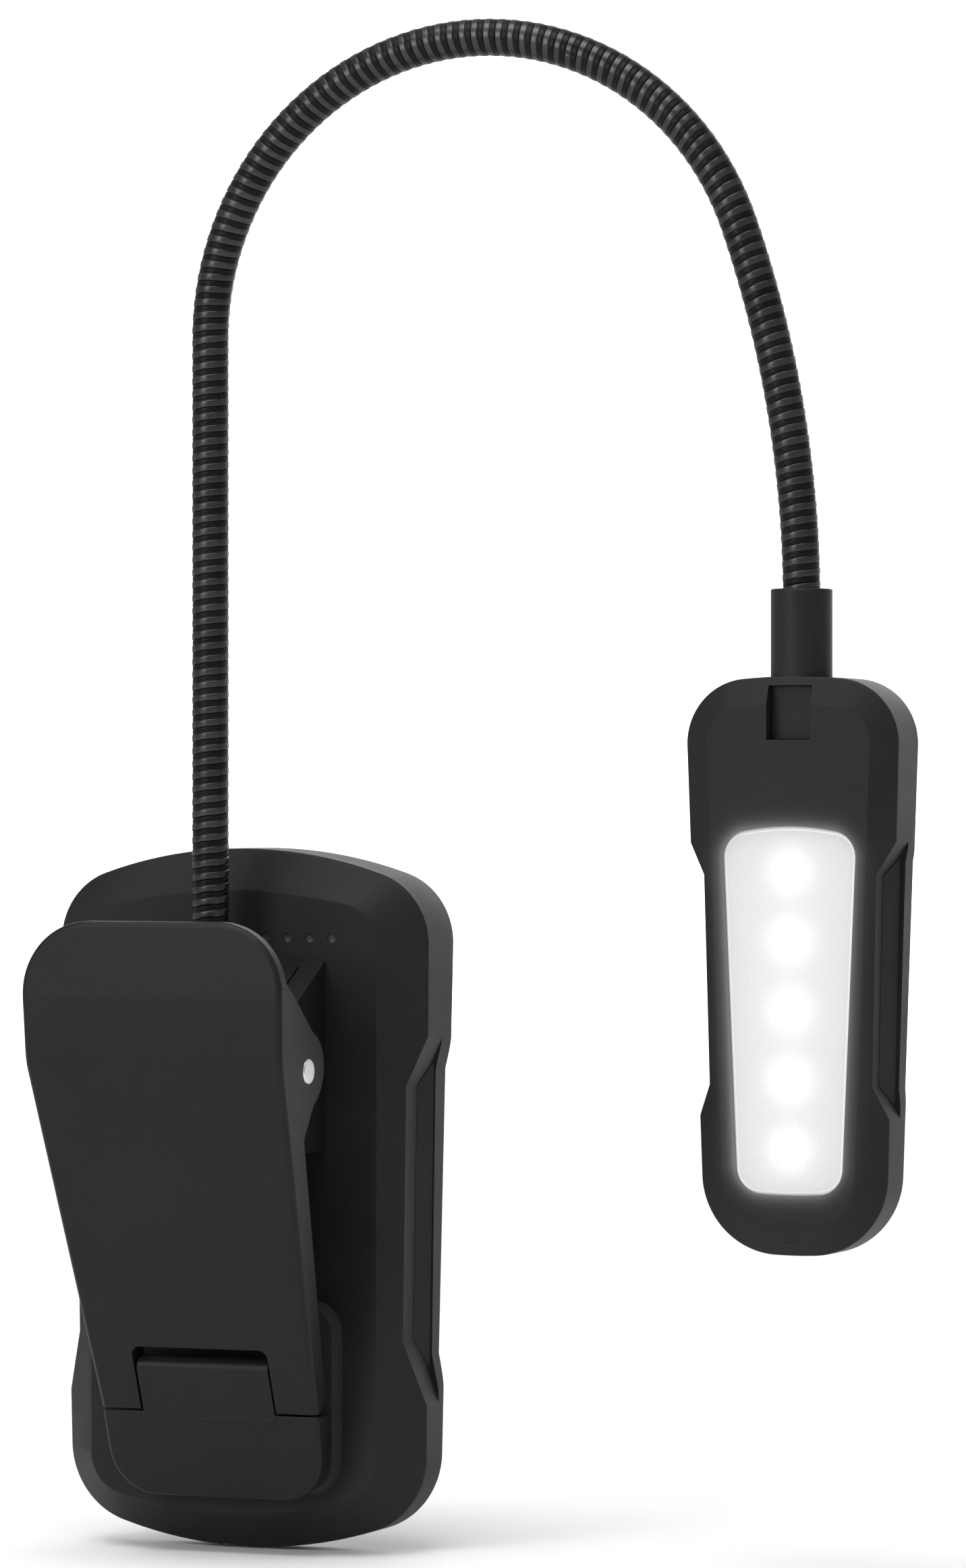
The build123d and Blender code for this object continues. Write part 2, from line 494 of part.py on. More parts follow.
def clip_foot():
    """Wedge-shaped jaw foot with a tongue that turns on the foot pin in the lever's notch."""
    lean = (LEVER_LOW_Y - CREASE_Y) / (CREASE_Z - LEVER_LOW_Z)
    shoulder_z = LEVER_LOW_Z - FOOT_GAP
    shoulder_y = LEVER_LOW_Y + lean * FOOT_GAP
    wedge = side_profile([(shoulder_y, shoulder_z), (FOOT_BACK_Y, shoulder_z), (FOOT_BACK_Y, FOOT_LOW_Z),
                          (FOOT_LOW_Y, FOOT_LOW_Z)], -20, 20)
    wedge &= extrude(front_plane(10) * foot_outline(shoulder_z), 30)
    front = wedge.faces().filter_by(lambda f: f.normal_at().Y < -0.5).sort_by(Axis.Y)[0]
    wedge = fillet([e for e in front.edges() if (e @ 0.5).Z < shoulder_z - 0.1], FOOT_EDGE_R)
    tongue_y = shoulder_y - lean * (TONGUE_TOP_Z - shoulder_z)
    tongue = side_profile([(shoulder_y, shoulder_z - 1), (FOOT_BACK_Y - 1.2, shoulder_z - 1), (FOOT_BACK_Y - 1.2, 3.5),
                           (FOOT_PIN_Y + 0.8, TONGUE_TOP_Z), (tongue_y, TONGUE_TOP_Z),
                           (shoulder_y, shoulder_z)], -NOTCH_HALF + FOOT_GAP, NOTCH_HALF - FOOT_GAP)
    crest = [e for e in tongue.edges().filter_by(Axis.X) if abs((e @ 0.5).Z - TONGUE_TOP_Z) < 0.01]
    tongue = fillet(crest, 1.4)
    body = wedge + tongue
    return body - rod_x(FOOT_PIN_R + RUNNING_FIT, -20, 20, FOOT_PIN_Y, FOOT_PIN_Z)


def foot_outline(top_z):
    half_low = LEVER_HALF_LOW - 0.5
    face = make_face(Polyline((-half_low, FOOT_LOW_Z), (half_low, FOOT_LOW_Z), (LEVER_HALF_LOW, top_z),
                              (-LEVER_HALF_LOW, top_z), close=True))
    return fillet(face.vertices().group_by(Axis.Y)[0], 6.5)


def foot_pad():
    """Rubber facing on the foot's inner side."""
    face = make_face(Polyline((-14.2, FOOT_LOW_Z + 1), (14.2, FOOT_LOW_Z + 1), (14.6, -2.6), (-14.6, -2.6), close=True))
    face = fillet(face.vertices().group_by(Axis.Y)[0], 5.5)
    return extrude(front_plane(FOOT_PAD_FACE_Y) * face, FOOT_PAD_FACE_Y - FOOT_BACK_Y)


# ---------------------------------------------------------------- gooseneck
ARC_LENGTH = NECK_ARC_R * radians(NECK_ARC_TURN)
TAIL_LENGTH = NECK_TAIL_R * radians(NECK_TAIL_TURN)
STRAIGHT_LENGTH = NECK_STRAIGHT_TOP - NECK_START_Z
NECK_END = STRAIGHT_LENGTH + ARC_LENGTH + TAIL_LENGTH
NECK_SLEEVE_END = NECK_END + 10.0    # the neck ends inside the sleeve, below the tail arc


def neck_point(s):
    """Point of the neck's centre line at station s, and its heading in degrees from +Z towards +X."""
    if s <= STRAIGHT_LENGTH:
        return Vector(0, NECK_Y, NECK_START_Z + s), 0.0
    turned = min(s - STRAIGHT_LENGTH, ARC_LENGTH) / NECK_ARC_R
    x = NECK_ARC_R * (1 - cos(turned))
    z = NECK_STRAIGHT_TOP + NECK_ARC_R * sin(turned)
    rest = s - STRAIGHT_LENGTH - ARC_LENGTH
    if rest > 0:
        more = min(rest, TAIL_LENGTH) / NECK_TAIL_R
        x += NECK_TAIL_R * (cos(turned) - cos(turned + more))
        z += NECK_TAIL_R * (sin(turned + more) - sin(turned))
        turned += more
        z -= max(0.0, rest - TAIL_LENGTH)
    return Vector(x, NECK_Y, z), degrees(turned)


def neck_edges(s0, s1):
    """Centre line from station s0 to s1 as straight lines and arcs."""
    marks = [s0] + [m for m in (STRAIGHT_LENGTH, STRAIGHT_LENGTH + ARC_LENGTH, NECK_END) if s0 < m < s1] + [s1]
    edges = []
    for a, b in zip(marks, marks[1:]):
        p, q, m = neck_point(a)[0], neck_point(b)[0], neck_point((a + b) / 2)[0]
        straight = b <= STRAIGHT_LENGTH + 1e-6 or a >= NECK_END - 1e-6
        edges.append(Line(p, q) if straight else ThreePointArc(p, m, q))
    return edges


def neck_rod(s0, s1, radius):
    """Solid round rod along the neck's centre line."""
    rod = None
    for edge in neck_edges(s0, s1):
        piece = sweep(Plane(origin=edge @ 0, z_dir=edge % 0) * Circle(radius), path=edge)
        rod = piece if rod is None else rod + piece
    return rod


def neck_joint(k):
    return NECK_FIRST_JOINT + k * NECK_JOINT_PITCH


def neck_link(k):
    """Link between joint k - 1 and joint k: a ball on a stem at its lower end, a socket at its upper end."""
    has_ball, has_socket = k > 0, k < NECK_JOINTS
    s0 = neck_joint(k - 1) + SHOULDER if has_ball else ANCHOR_LOW_Z - NECK_START_Z + 0.5
    s1 = neck_joint(k) + SOCKET_RIM if has_socket else NECK_SLEEVE_END
    body = neck_rod(s0, s1, NECK_R)
    hollow_start = s0 + 0.8 if has_ball else s0 - 1
    hollow_end = neck_joint(k) - BALL_R - 0.8 if has_socket else s1 + 1
    body -= neck_rod(hollow_start, hollow_end, NECK_BORE)
    if has_ball:
        body += neck_rod(neck_joint(k - 1), s0 + 0.1, STEM_R)
        body += Pos(neck_point(neck_joint(k - 1))[0]) * Sphere(BALL_R)
        body -= neck_rod(neck_joint(k - 1) - BALL_R - 0.5, hollow_start + 0.1, WIREWAY_R)
    if has_socket:
        body -= Pos(neck_point(neck_joint(k))[0]) * Sphere(BALL_R + RUNNING_FIT)
        body -= neck_rod(hollow_end - 0.1, neck_joint(k), WIREWAY_R)
    return body


def neck_anchor():
    """Crimped ferrule on the lower end of the neck, held in the socket."""
    ferrule = rod_z(ANCHOR_R - 0.05, ANCHOR_LOW_Z + 0.1, ANCHOR_LOW_Z + ANCHOR_LENGTH - 0.1, 0, NECK_Y)
    return ferrule - rod_z(NECK_R, ANCHOR_LOW_Z - 1, ANCHOR_LOW_Z + ANCHOR_LENGTH + 1, 0, NECK_Y)


# ---------------------------------------------------------------- head
def at_head(solid):
    return Pos(HEAD_X, 0, 0) * solid


def head_front_shell():
    body = form(HEAD_FACE_OUTLINE, HEAD_FACE_Y, HEAD_RIDGE_OUTLINE, HEAD_RIDGE_Y, HEAD_RIDGE_SLOPE,
                HEAD_PARTING_Y, HEAD_EDGE_R)
    body -= slab(HEAD_CAVITY_OUTLINE, HEAD_FACE_Y + HEAD_WALL + LENS_THICK, HEAD_PARTING_Y + 1)
    body -= slab(WINDOW_OUTLINE, HEAD_FACE_Y - 1, HEAD_PARTING_Y)
    body -= slab(grown(WINDOW_OUTLINE, LENS_FLANGE + 0.05), LENS_FACE_Y + LENS_THICK / 2, HEAD_PARTING_Y)
    for x, z in HEAD_SCREWS:
        body += rod_y(1.9, HEAD_FACE_Y + HEAD_WALL, HEAD_PARTING_Y, x, z)
        body -= rod_y(HEAD_SCREW_R, HEAD_FACE_Y + HEAD_WALL + 1, HEAD_PARTING_Y + 1, x, z)
    for cut in both_sides(side_cut(**HEAD_POCKET, y_front=HEAD_FACE_Y - 3, y_back=HEAD_PARTING_Y + 1)):
        body -= cut
    body -= block(-TAB_HALF, TAB_HALF, HEAD_FACE_Y - 1, NECK_Y, TAB_LOW_Z, TAB_HIGH_Z)
    return at_head(body - sleeve_hole())


def sleeve_hole():
    stem = rod_z(STEM_SLEEVE_R + 0.05, STEM_SLEEVE_LOW_Z - 0.1, HEAD_HIGH, 0, NECK_Y)
    return stem + rod_z(SLEEVE_R, SLEEVE_LOW_Z, HEAD_HIGH + 5, 0, NECK_Y)


def head_back_shell():
    body = back_form(HEAD_RIDGE_OUTLINE, HEAD_PARTING_Y, HEAD_BACK_Y, HEAD_BACK_SLOPE, 0.6)
    body -= loft([front_plane(HEAD_PARTING_Y - 0.01) * outline(**HEAD_CAVITY_OUTLINE),
                  front_plane(HEAD_BACK_Y - HEAD_WALL, HEAD_BACK_SLOPE) * outline(**HEAD_CAVITY_OUTLINE)], ruled=True)
    for x, z in HEAD_SCREWS:
        body += rod_y(2.3, HEAD_PARTING_Y, back_surface(HEAD_BACK_Y, HEAD_BACK_SLOPE, z) - 0.5, x, z)
        seat = back_surface(HEAD_BACK_Y, HEAD_BACK_SLOPE, z) - 1.1
        body -= rod_y(HEAD_SCREW_HEAD_R + 0.2, seat, seat + 3, x, z)
        body -= rod_y(HEAD_SCREW_R + 0.15, seat - 6, seat + 1, x, z)
    for x, z in LED_POSTS:
        body += rod_y(1.2, LED_BOARD_Y + 0.8, HEAD_PARTING_Y + 2, x, z)
    for cut in both_sides(side_cut(**HEAD_WAIST, y_front=HEAD_PARTING_Y - 1, y_back=HEAD_BACK_Y + 5)):
        body -= cut
    return at_head(body - sleeve_hole())


def head_grip():
    """Right-hand grip inlay of the head."""
    floor_x = HEAD_POCKET["floor_low"][0]
    lean = (HEAD_POCKET["floor_top"][0] - floor_x) / (HEAD_POCKET["floor_top"][1] - HEAD_POCKET["floor_low"][1])
    return grip(HEAD_POCKET, floor_x, lean, HEAD_GRIP_FRONT_Y, HEAD_PARTING_Y)


def head_lens():
    """Frosted diffuser: a stepped plate whose flange sits behind the bezel."""
    window = slab(grown(WINDOW_OUTLINE, -0.05), LENS_FACE_Y, LENS_FACE_Y + LENS_THICK)
    flange = slab(grown(WINDOW_OUTLINE, LENS_FLANGE), LENS_FACE_Y + LENS_THICK / 2, LENS_FACE_Y + LENS_THICK)
    return at_head(window + flange)


def led_board():
    return at_head(block(-5.6, 5.6, LED_BOARD_Y, LED_BOARD_Y + 0.8, 32.6, 81.0))


def leds():
    """White LEDs on the board, one under each bright spot of the lens."""
    chips = []
    for i in range(LED_COUNT):
        z = LED_TOP_Z - i * LED_PITCH
        chips.append(at_head(block(-1.4, 1.4, LED_BOARD_Y - 0.7, LED_BOARD_Y, z - 1.75, z + 1.75)))
    return chips


def neck_sleeve():
    """Plastic sleeve over the upper end of the neck; its flat catch shows in the notch of the head."""
    y_catch = HEAD_FACE_Y + TAB_DEPTH
    tube = rod_z(SLEEVE_R, SLEEVE_LOW_Z, SLEEVE_TOP_Z, 0, NECK_Y)
    tube = fillet(tube.edges().sort_by(Axis.Z)[-1], 0.3)
    tube += rod_z(STEM_SLEEVE_R, STEM_SLEEVE_LOW_Z, SLEEVE_LOW_Z + 1, 0, NECK_Y)
    tube += block(-TAB_HALF + 0.1, TAB_HALF - 0.1, y_catch, NECK_Y - NECK_R, TAB_LOW_Z + 0.1, TAB_HIGH_Z - 0.05)
    return at_head(tube) - neck_rod(NECK_END - 6, NECK_SLEEVE_END + 10, NECK_R)


def head_screws():
    screws = []
    for x, z in HEAD_SCREWS:
        y_head = back_surface(HEAD_BACK_Y, HEAD_BACK_SLOPE, z) - 0.2
        head = rod_y(HEAD_SCREW_HEAD_R, y_head - 0.9, y_head, x, z)
        head -= Pos(x, y_head - 0.2, z) * (Box(1.9, 0.5, 0.35) + Box(0.35, 0.5, 1.9))
        screws.append(at_head(head + rod_y(HEAD_SCREW_R, HEAD_PARTING_Y - 3.5, y_head - 0.9, x, z)))
    return screws


def head_leads():
    """Two leads from the neck to the LED board."""
    leads = []
    for side in (-1, 1):
        y_board = LED_BOARD_Y + 0.8 + WIRE_R + 0.02
        points = [(side * 0.62, NECK_Y, 97.5), (side * 0.62, NECK_Y, 91.0), (side * 3.4, y_board, 88.2),
                  (side * 3.4, y_board, 79.0)]
        leads.append(at_head(wire(points, 1.0)))
    return leads


# ---------------------------------------------------------------- inside the base
def battery_cell():
    cell = block(-BATTERY["half"], BATTERY["half"], BATTERY["y_front"], BATTERY["y_front"] + BATTERY["thick"],
                 BATTERY["z_low"], BATTERY["z_high"])
    return fillet(cell.edges().filter_by(Axis.Z), 1.6)


def battery_tape():
    """Foam tape that holds the cell to the housing."""
    return block(-14.0, 14.0, CAVITY_FRONT_Y, BATTERY["y_front"], BATTERY["z_low"] + 3, BATTERY["z_high"] - 3)


def control_board():
    return block(-BOARD["half"], BOARD["half"], BOARD["y_front"], BOARD["y_front"] + BOARD["thick"],
                 BOARD["z_low"], BOARD["z_high"])


def light_pipes():
    """Clear pins that carry the charge indicators through the plateau; their ends are slightly sunk."""
    pins = []
    for x in DOTS:
        pin = rod_y(DOT_R, PLATEAU_Y + DOT_RECESS, BOARD["y_front"] - 0.9, x, DOT_Z)
        pins.append(pin - Pos(x, PLATEAU_Y - 0.35, DOT_Z) * Sphere(0.85))
    return pins


def indicator_leds():
    y = BOARD["y_front"]
    return [block(x - 0.8, x + 0.8, y - 0.8, y, DOT_Z - 0.5, DOT_Z + 0.5) for x in DOTS]


def tact_switch():
    y = BOARD["y_front"] + BOARD["thick"]
    body = block(-3.0, 3.0, y, y + 1.8, BUTTON_Z - 3.0, BUTTON_Z + 3.0)
    return body + rod_y(1.6, y + 1.8, y + 2.4, 0, BUTTON_Z)


def power_button():
    """Push button in the back shell: dished cap with a retaining flange behind the wall."""
    y_face = back_surface(BACK_Y, BACK_SLOPE, BUTTON_Z) + BUTTON_PROUD
    y_wall = back_surface(BACK_Y, BACK_SLOPE, BUTTON_Z - BUTTON_R - 2) - WALL
    cap = rod_y(BUTTON_R, y_wall - BUTTON_FLANGE, y_face, 0, BUTTON_Z)
    cap = fillet(cap.edges().sort_by(Axis.Y)[-1], 0.35)
    cap -= Pos(0, y_face + 28.8, BUTTON_Z) * Sphere(29.0)
    return cap + rod_y(BUTTON_R + 1.0, y_wall - BUTTON_FLANGE - 0.1, y_wall - 0.1, 0, BUTTON_Z)


def charge_port():
    """Charging socket in the bottom edge: a rounded steel tube with a tongue inside."""
    z_mouth = BASE_LOW + 0.5
    shell = Box(2 * PORT_HALF, PORT_THICK, PORT_LENGTH)
    shell = fillet(shell.edges().filter_by(Axis.Z), PORT_THICK / 2 - 0.05)
    room = Box(2 * PORT_HALF - 0.6, PORT_THICK - 0.6, PORT_LENGTH)
    room = fillet(room.edges().filter_by(Axis.Z), PORT_THICK / 2 - 0.35)
    tongue = Box(6.6, 0.7, PORT_LENGTH - 1.6)
    body = shell - Pos(0, 0, -1.0) * room + Pos(0, 0, 0.6) * tongue
    return Pos(0, PORT_Y, z_mouth + PORT_LENGTH / 2) * body


def charge_board():
    y = PORT_Y + PORT_THICK / 2
    return block(-CHARGE_BOARD_HALF, CHARGE_BOARD_HALF, y, y + 0.8, CHARGE_BOARD_LOW_Z, BATTERY["z_low"] - 1.0)


def base_screws():
    places = [(x, z, back_surface(BACK_Y, BACK_SLOPE, z) - 0.3) for x, z in BASE_SCREWS]
    return [screw(x, z, y_head, y_head - 7.0) for x, z, y_head in places]


def neck_leads():
    """Two leads from the foot of the neck to the control board."""
    leads = []
    for side in (-1, 1):
        x_neck, x_board, y_board = side * 0.62, side * 1.2, BOARD["y_front"] - WIRE_R - 0.02
        points = [(x_neck, NECK_Y, 48.0), (x_neck, NECK_Y, 39.2), (x_board, 6.0, 39.2),
                  (x_board, y_board, 50.5), (x_board, y_board, 56.0)]
        leads.append(wire(points, 1.2))
    return leads


def mirrored(solid):
    return mirror(solid, about=Plane.YZ)


def left_of_head(solid):
    return at_head(mirrored(solid))


SINGLE_PARTS = {
    "base_front_shell": base_front_shell,
    "base_back_shell": base_back_shell,
    "base_grip_right": base_grip,
    "base_grip_left": lambda: mirrored(base_grip()),
    "base_jaw_pad": jaw_pad,
    "clip_bracket": clip_bracket,
    "neck_socket": neck_socket,
    "neck_anchor": neck_anchor,
    "clip_pin": clip_pin,
    "clip_spring": clip_spring,
    "clip_lever": clip_lever,
    "foot_pin": foot_pin,
    "clip_foot": clip_foot,
    "foot_pad": foot_pad,
    "battery_cell": battery_cell,
    "battery_tape": battery_tape,
    "control_board": control_board,
    "light_pipes": light_pipes,
    "indicator_leds": indicator_leds,
    "tact_switch": tact_switch,
    "power_button": power_button,
    "charge_port": charge_port,
    "charge_board": charge_board,
    "base_screws": base_screws,
    "neck_leads": neck_leads,
    "head_front_shell": head_front_shell,
    "head_back_shell": head_back_shell,
    "head_grip_right": lambda: at_head(head_grip()),
    "head_grip_left": lambda: left_of_head(head_grip()),
    "head_lens": head_lens,
    "led_board": led_board,
    "head_leds": leds,
    "neck_sleeve": neck_sleeve,
    "head_screws": head_screws,
    "head_leads": head_leads,
}

for node, make in SINGLE_PARTS.items():
    save(node, make())

for k in range(NECK_JOINTS + 1):
    save(f"neck_link_{k}", neck_link(k))
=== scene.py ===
import math

import bmesh
import bpy
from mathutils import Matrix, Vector

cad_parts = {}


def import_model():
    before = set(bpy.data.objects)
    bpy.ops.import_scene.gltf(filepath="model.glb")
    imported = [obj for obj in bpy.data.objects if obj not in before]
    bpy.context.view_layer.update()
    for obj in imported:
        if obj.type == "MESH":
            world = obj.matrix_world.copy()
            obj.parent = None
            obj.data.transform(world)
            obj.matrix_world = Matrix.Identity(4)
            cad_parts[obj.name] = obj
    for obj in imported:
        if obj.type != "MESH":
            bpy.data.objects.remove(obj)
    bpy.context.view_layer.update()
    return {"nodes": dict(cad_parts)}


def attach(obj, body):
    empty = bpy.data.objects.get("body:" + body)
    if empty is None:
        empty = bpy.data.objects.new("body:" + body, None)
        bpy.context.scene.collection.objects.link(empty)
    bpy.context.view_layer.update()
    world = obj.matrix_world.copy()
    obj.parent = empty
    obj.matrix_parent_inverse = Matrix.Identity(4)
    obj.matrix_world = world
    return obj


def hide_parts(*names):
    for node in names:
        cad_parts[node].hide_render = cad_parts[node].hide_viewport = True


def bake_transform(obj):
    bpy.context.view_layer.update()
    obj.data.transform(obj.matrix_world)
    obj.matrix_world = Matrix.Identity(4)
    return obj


# Clip-on reading lamp: the looks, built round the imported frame.
# Objects are in metres in the part's own frame; the sizes below are in millimetres.
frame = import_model()
NODES = frame["nodes"]
MM = 0.001

# ------------------------------------------------------------------ dimensions in mm
NECK_Y, NECK_R = -5.3, 2.5
NECK_START_Z, NECK_STRAIGHT_TOP = 55.0, 143.1
ARC_R, ARC_TURN = 39.0, math.radians(160.2)
TAIL_R, TAIL_TURN = 147.1, math.radians(19.8)
STRAIGHT = NECK_STRAIGHT_TOP - NECK_START_Z
ARC_LENGTH, TAIL_LENGTH = ARC_R * ARC_TURN, TAIL_R * TAIL_TURN
NECK_END = STRAIGHT + ARC_LENGTH + TAIL_LENGTH
FIRST_JOINT, JOINT_PITCH, JOINTS = 16.0, 42.0, 6
COIL_PITCH, COIL_STEPS, COIL_BORE = 1.72, 32, 1.6
COIL_FOOT, COIL_TIP = -13.0, NECK_END + 8.0     # stations where the winding begins and ends
BEND_FOOT, BEND_TIP = -2.0, NECK_END - 3.0      # stations between which it bends
HEAD_X = ARC_R * (1 - math.cos(ARC_TURN)) + TAIL_R * (1 - math.cos(TAIL_TURN))
LED_TOP_Z, LED_PITCH, LED_COUNT = 71.8, 9.06, 5
LENS_HALF_TOP, LENS_HALF_LOW, LENS_CORNER = 9.3, 7.3, 3.4
LENS_LOW_Z, LENS_HIGH_Z = 29.7, 77.5
LENS_ARCH_TOP, LENS_ARCH_LOW = 34.0, 60.0
BEZEL_FACE_Y = -8.0
PIN_Y, PIN_Z = -15.05, 44.9
SPRING_R, SPRING_WIRE, SPRING_HALF = 3.1, 1.0, 7.0
SPRING_TURNS, SPRING_STEPS = 11.5, 28
FLOOR_Z = -21.5


# ------------------------------------------------------------------ mesh helpers
def build(name, verts, faces, material):
    """Smooth mesh object from millimetre vertices, with its normals outwards."""
    mesh = bpy.data.meshes.new(name)
    mesh.from_pydata([Vector(v) * MM for v in verts], [], faces)
    mesh.materials.append(material)
    mesh.polygons.foreach_set("use_smooth", [True] * len(mesh.polygons))
    mesh.validate()
    piece = bpy.data.objects.new(name, mesh)
    bpy.context.scene.collection.objects.link(piece)
    fix = bmesh.new()
    fix.from_mesh(mesh)
    bmesh.ops.recalc_face_normals(fix, faces=fix.faces)
    fix.to_mesh(mesh)
    fix.free()
    return piece


def ring_faces(rings, count):
    """Quads between successive rings of count vertices, then the two end caps."""
    faces = []
    for i in range(rings - 1):
        for j in range(count):
            k = (j + 1) % count
            faces.append((i * count + j, i * count + k, (i + 1) * count + k, (i + 1) * count + j))
    faces.append(tuple(range(count)))
    faces.append(tuple((rings - 1) * count + j for j in range(count)))
    return faces


def tube(name, path, radius, material, sides):
    """Round wire along a list of points, with a steady frame."""
    points = [Vector(p) for p in path]
    verts = []
    side = None
    for i, p in enumerate(points):
        ahead = points[min(i + 1, len(points) - 1)] - points[max(i - 1, 0)]
        ahead.normalize()
        if side is None:
            side = ahead.orthogonal().normalized()
        side = (side - ahead * side.dot(ahead)).normalized()
        up = ahead.cross(side)
        for j in range(sides):
            a = 2 * math.pi * j / sides
            verts.append(p + radius * (math.cos(a) * side + math.sin(a) * up))
    return build(name, verts, ring_faces(len(points), sides), material)


def arc_outline(half_top, half_low, z_low, z_high, arch_top, arch_low, corner):
    """Slab outline with bowed ends and rounded corners: (x, z) points, anticlockwise from the low middle."""
    top_z = z_high - arch_top + math.sqrt(arch_top**2 - half_top**2)
    low_z = z_low + arch_low - math.sqrt(arch_low**2 - half_low**2)
    top, low = (half_top, top_z), (half_low, low_z)
    right = bowed_corner(low, top, z_low + arch_low, arch_low, corner, -1)
    upper = bowed_corner(top, low, z_high - arch_top, arch_top, corner, 1)
    half = [(0.0, z_low)] + right + upper[::-1] + [(0.0, z_high)]
    return half + [(-x, z) for x, z in half[-2:0:-1]]


EDGE_POINTS = 18                            # points along each bowed end, and round each corner
CORNER_REACH, CORNER_TRIES = 30.0, 400      # a corner's centre is looked for this far along, in so many steps


def bowed_corner(corner, far, z_centre, arch, radius, sign):
    """Points from the middle of a bowed end, round its corner, to the straight side that leads to far."""
    start = Vector(corner)
    side = (Vector(far) - start).normalized()
    inward = Vector((-side.y, side.x)) if sign < 0 else Vector((side.y, -side.x))
    best = None
    for i in range(CORNER_TRIES):
        centre = start + side * (CORNER_REACH * i / CORNER_TRIES) + inward * radius
        gap = abs(math.hypot(centre.x, centre.y - z_centre) - (arch - radius))
        if best is None or gap < best[0]:
            best = (gap, centre)
    centre = best[1]
    outward = Vector((centre.x, centre.y - z_centre)).normalized()
    a0 = math.atan2(outward.y, outward.x)
    a1 = math.atan2(-inward.y, -inward.x)
    x_start = centre.x + radius * outward.x
    points = []
    for i in range(1, EDGE_POINTS):
        x = x_start * i / EDGE_POINTS
        points.append((x, z_centre + sign * math.sqrt(arch**2 - x**2)))
    for i in range(EDGE_POINTS + 1):
        a = a0 + (a1 - a0) * i / EDGE_POINTS
        points.append((centre.x + radius * math.cos(a), centre.y + radius * math.sin(a)))
    return points


# ------------------------------------------------------------------ materials
def shader(name):
    material = bpy.data.materials.new(name)
    material.use_nodes = True
    tree = material.node_tree
    tree.nodes.clear()
    output = tree.nodes.new("ShaderNodeOutputMaterial")
    bsdf = tree.nodes.new("ShaderNodeBsdfPrincipled")
    tree.links.new(bsdf.outputs["BSDF"], output.inputs["Surface"])
    return material, tree, bsdf


NOISE_LOW, NOISE_HIGH = 0.3, 0.7                    # most of a noise lies between these
MIX_FACTOR, MIX_A, MIX_B, MIX_RESULT = 0, 6, 7, 2   # sockets of a mix node that mixes colours


class Value:
    """A number in a shader tree, so that its maths can be written with + - and *."""

    def __init__(self, tree, socket):
        self.tree, self.socket = tree, socket

    def maths(self, operation, other=None):
        node = self.tree.nodes.new("ShaderNodeMath")
        node.operation = operation
        self.feed(node.inputs[0])
        if isinstance(other, Value):
            other.feed(node.inputs[1])
        elif other is not None:
            node.inputs[1].default_value = other
        return Value(self.tree, node.outputs["Value"])

    def __add__(self, other):
        return self.maths("ADD", other)

    def __sub__(self, other):
        return self.maths("SUBTRACT", other)

    def __mul__(self, other):
        return self.maths("MULTIPLY", other)

    def decay(self, length):
        """e to the power of minus this value over length."""
        return (self * (-1.0 / length)).maths("EXPONENT")

    def remap(self, low, high):
        """A noise, stretched to run from low to high."""
        node = self.tree.nodes.new("ShaderNodeMapRange")
        node.inputs["From Min"].default_value = NOISE_LOW
        node.inputs["From Max"].default_value = NOISE_HIGH
        node.inputs["To Min"].default_value = low
        node.inputs["To Max"].default_value = high
        self.feed(node.inputs["Value"])
        return Value(self.tree, node.outputs["Result"])

    def feed(self, socket):
        self.tree.links.new(self.socket, socket)


def coordinates(tree, stretch=(1, 1, 1)):
    where = tree.nodes.new("ShaderNodeTexCoord")
    mapping = tree.nodes.new("ShaderNodeMapping")
    mapping.inputs["Scale"].default_value = stretch
    tree.links.new(where.outputs["Object"], mapping.inputs["Vector"])
    return mapping.outputs["Vector"]


def millimetres(tree, axes):
    """The shaded point's coordinates along the named axes, in millimetres."""
    where = tree.nodes.new("ShaderNodeTexCoord")
    split = tree.nodes.new("ShaderNodeSeparateXYZ")
    tree.links.new(where.outputs["Object"], split.inputs["Vector"])
    return [Value(tree, split.outputs[axis]) * (1.0 / MM) for axis in axes]


def noise(tree, scale, detail=3.0, stretch=(1, 1, 1)):
    node = tree.nodes.new("ShaderNodeTexNoise")
    node.inputs["Scale"].default_value = scale
    node.inputs["Detail"].default_value = detail
    tree.links.new(coordinates(tree, stretch), node.inputs["Vector"])
    return Value(tree, node.outputs["Fac"])


def mix_colour(factor, a, b, socket):
    """Colour between a and b by factor, into a socket."""
    node = factor.tree.nodes.new("ShaderNodeMix")
    node.data_type = "RGBA"
    factor.feed(node.inputs[MIX_FACTOR])
    node.inputs[MIX_A].default_value = (*a, 1.0)
    node.inputs[MIX_B].default_value = (*b, 1.0)
    factor.tree.links.new(node.outputs[MIX_RESULT], socket)


def bump(bsdf, height, depth_mm):
    node = height.tree.nodes.new("ShaderNodeBump")
    node.inputs["Distance"].default_value = depth_mm * MM
    height.feed(node.inputs["Height"])
    height.tree.links.new(node.outputs["Normal"], bsdf.inputs["Normal"])


def surface(name, colour, tint, rough, grain, depth,
            mottle=70.0, metallic=0.0, stretch=(1, 1, 1), specular=0.16):
    """Patchy colour and roughness, with a fine grain in the surface."""
    material, tree, bsdf = shader(name)
    patches = noise(tree, mottle, 4.0)
    fine = noise(tree, grain, 3.0, stretch)
    mix_colour(patches.remap(0.0, 1.0), colour, tint, bsdf.inputs["Base Color"])
    (patches * 0.6 + fine * 0.4).remap(*rough).feed(bsdf.inputs["Roughness"])
    bsdf.inputs["Metallic"].default_value = metallic
    bsdf.inputs["Specular IOR Level"].default_value = specular
    bump(bsdf, fine, depth)
    return material


